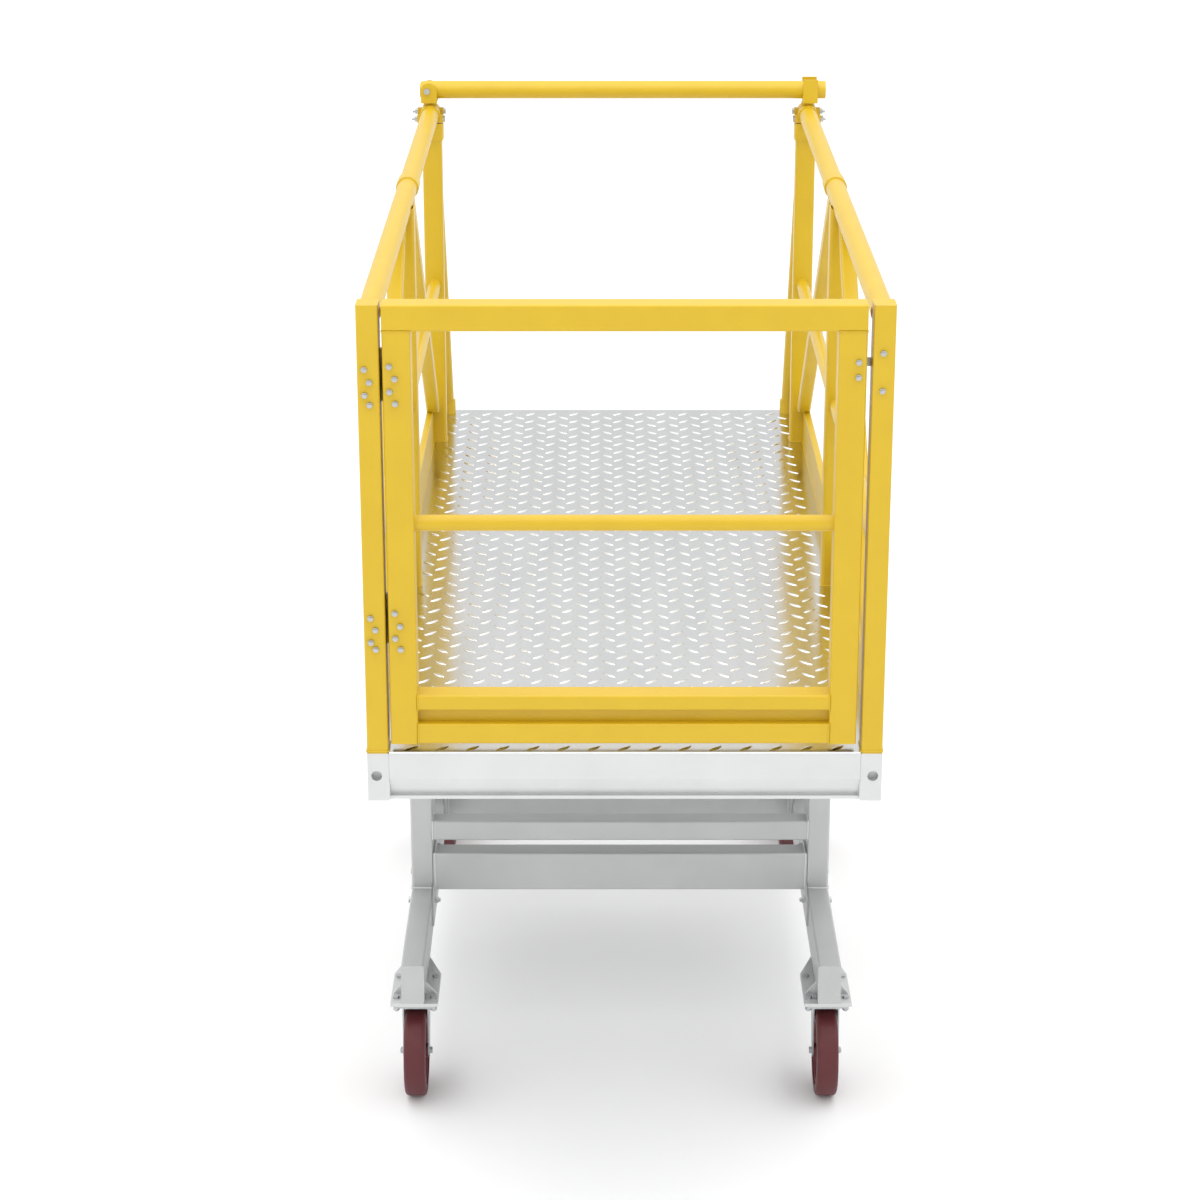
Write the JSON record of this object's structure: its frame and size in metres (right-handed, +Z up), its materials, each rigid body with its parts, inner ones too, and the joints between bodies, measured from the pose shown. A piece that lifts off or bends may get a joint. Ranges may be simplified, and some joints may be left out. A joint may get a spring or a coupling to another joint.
{
  "type": "baker scaffold",
  "caption": "Rolling work platform with a cantilevered tread plate deck, tubular guardrails, a swing gate, a lift-up drop bar and swivel casters.",
  "frame": {"origin": "on the floor under the middle of the deck", "axes": "+X across the deck to the right seen from the gate, +Y along the deck from the gate to the drop bar, +Z up"},
  "size_m": [1.282, 3.058, 2.587],
  "materials": {
    "aluminium": "satin mill finish",
    "tread_plate": "polished five-bar tread",
    "yellow_paint": "satin powder coat",
    "zinc": "zinc plated",
    "polyurethane": "satin polyurethane",
    "wheel_core": "painted cast core",
    "rubber": "matte"
  },
  "bodies": {
    "platform": {"side_beams": "aluminium", "corner_plates": "aluminium", "front_beam": "aluminium", "rear_beam": "aluminium", "deck_joists": "aluminium", "deck_plate": "tread_plate", "toe_boards": "yellow_paint", "front_posts": "yellow_paint", "mid_posts": "yellow_paint", "rear_posts": "yellow_paint", "top_rails": "yellow_paint", "rail_sleeves": "yellow_paint", "rail_tees": "yellow_paint", "tee_bolts": "zinc", "mid_rails": "yellow_paint", "diagonal_braces": "yellow_paint", "back_stays": "yellow_paint", "drop_bar_bracket": "yellow_paint", "drop_bar_pivot": "zinc", "drop_bar_cradle": "yellow_paint", "post_leaves": "zinc", "hinge_pins": "zinc", "post_bolts": "zinc", "stop_plate": "zinc", "stop_pad": "rubber", "base_rails": "aluminium", "uprights": "aluminium", "cap_plates": "aluminium", "cap_bolts": "zinc", "crossbeams": "aluminium", "gussets": "aluminium", "gusset_bolts": "zinc", "foot_plates": "aluminium", "caster_bolts": "zinc", "caster_plates": "zinc"},
    "gate": {"gate_stiles": "yellow_paint", "gate_top_rail": "yellow_paint", "gate_mid_rail": "yellow_paint", "gate_low_rails": "yellow_paint", "kick_plate": "yellow_paint", "gate_leaves": "zinc", "gate_bolts": "zinc", "stop_arm": "zinc"},
    "drop_bar": {"drop_bar": "yellow_paint"},
    "caster_fl": {"fork_fl": "zinc", "axle_fl": "zinc"},
    "wheel_fl": {"hub_fl": "wheel_core", "tread_fl": "polyurethane"},
    "caster_fr": {"fork_fr": "zinc", "axle_fr": "zinc"},
    "wheel_fr": {"hub_fr": "wheel_core", "tread_fr": "polyurethane"},
    "caster_rl": {"fork_rl": "zinc", "axle_rl": "zinc"},
    "wheel_rl": {"hub_rl": "wheel_core", "tread_rl": "polyurethane"},
    "caster_rr": {"fork_rr": "zinc", "axle_rr": "zinc"},
    "wheel_rr": {"hub_rr": "wheel_core", "tread_rr": "polyurethane"}
  },
  "joints": [
    {"name": "gate_swing", "type": "hinge", "parent": "platform", "child": "gate", "pos_m": [-0.5555, -1.45, 1.9], "axis": [0, 0, 1], "range_deg": [0, 90]},
    {"name": "drop_bar_lift", "type": "hinge", "parent": "platform", "child": "drop_bar", "pos_m": [-0.592, 1.166, 2.552], "axis": [0, -1, 0], "range_deg": [0, 90]},
    {"name": "swivel_fl", "type": "hinge", "parent": "platform", "child": "caster_fl", "pos_m": [-0.575, -0.5, 0.266], "axis": [0, 0, 1], "continuous": true},
    {"name": "roll_fl", "type": "hinge", "parent": "caster_fl", "child": "wheel_fl", "pos_m": [-0.575, -0.534, 0.127], "axis": [1, 0, 0], "continuous": true},
    {"name": "swivel_fr", "type": "hinge", "parent": "platform", "child": "caster_fr", "pos_m": [0.575, -0.5, 0.266], "axis": [0, 0, 1], "continuous": true},
    {"name": "roll_fr", "type": "hinge", "parent": "caster_fr", "child": "wheel_fr", "pos_m": [0.575, -0.534, 0.127], "axis": [1, 0, 0], "continuous": true},
    {"name": "swivel_rl", "type": "hinge", "parent": "platform", "child": "caster_rl", "pos_m": [-0.575, 1.172, 0.266], "axis": [0, 0, 1], "continuous": true},
    {"name": "roll_rl", "type": "hinge", "parent": "caster_rl", "child": "wheel_rl", "pos_m": [-0.575, 1.206, 0.127], "axis": [1, 0, 0], "continuous": true},
    {"name": "swivel_rr", "type": "hinge", "parent": "platform", "child": "caster_rr", "pos_m": [0.575, 1.172, 0.266], "axis": [0, 0, 1], "continuous": true},
    {"name": "roll_rr", "type": "hinge", "parent": "caster_rr", "child": "wheel_rr", "pos_m": [0.575, 1.206, 0.127], "axis": [1, 0, 0], "continuous": true}
  ]
}
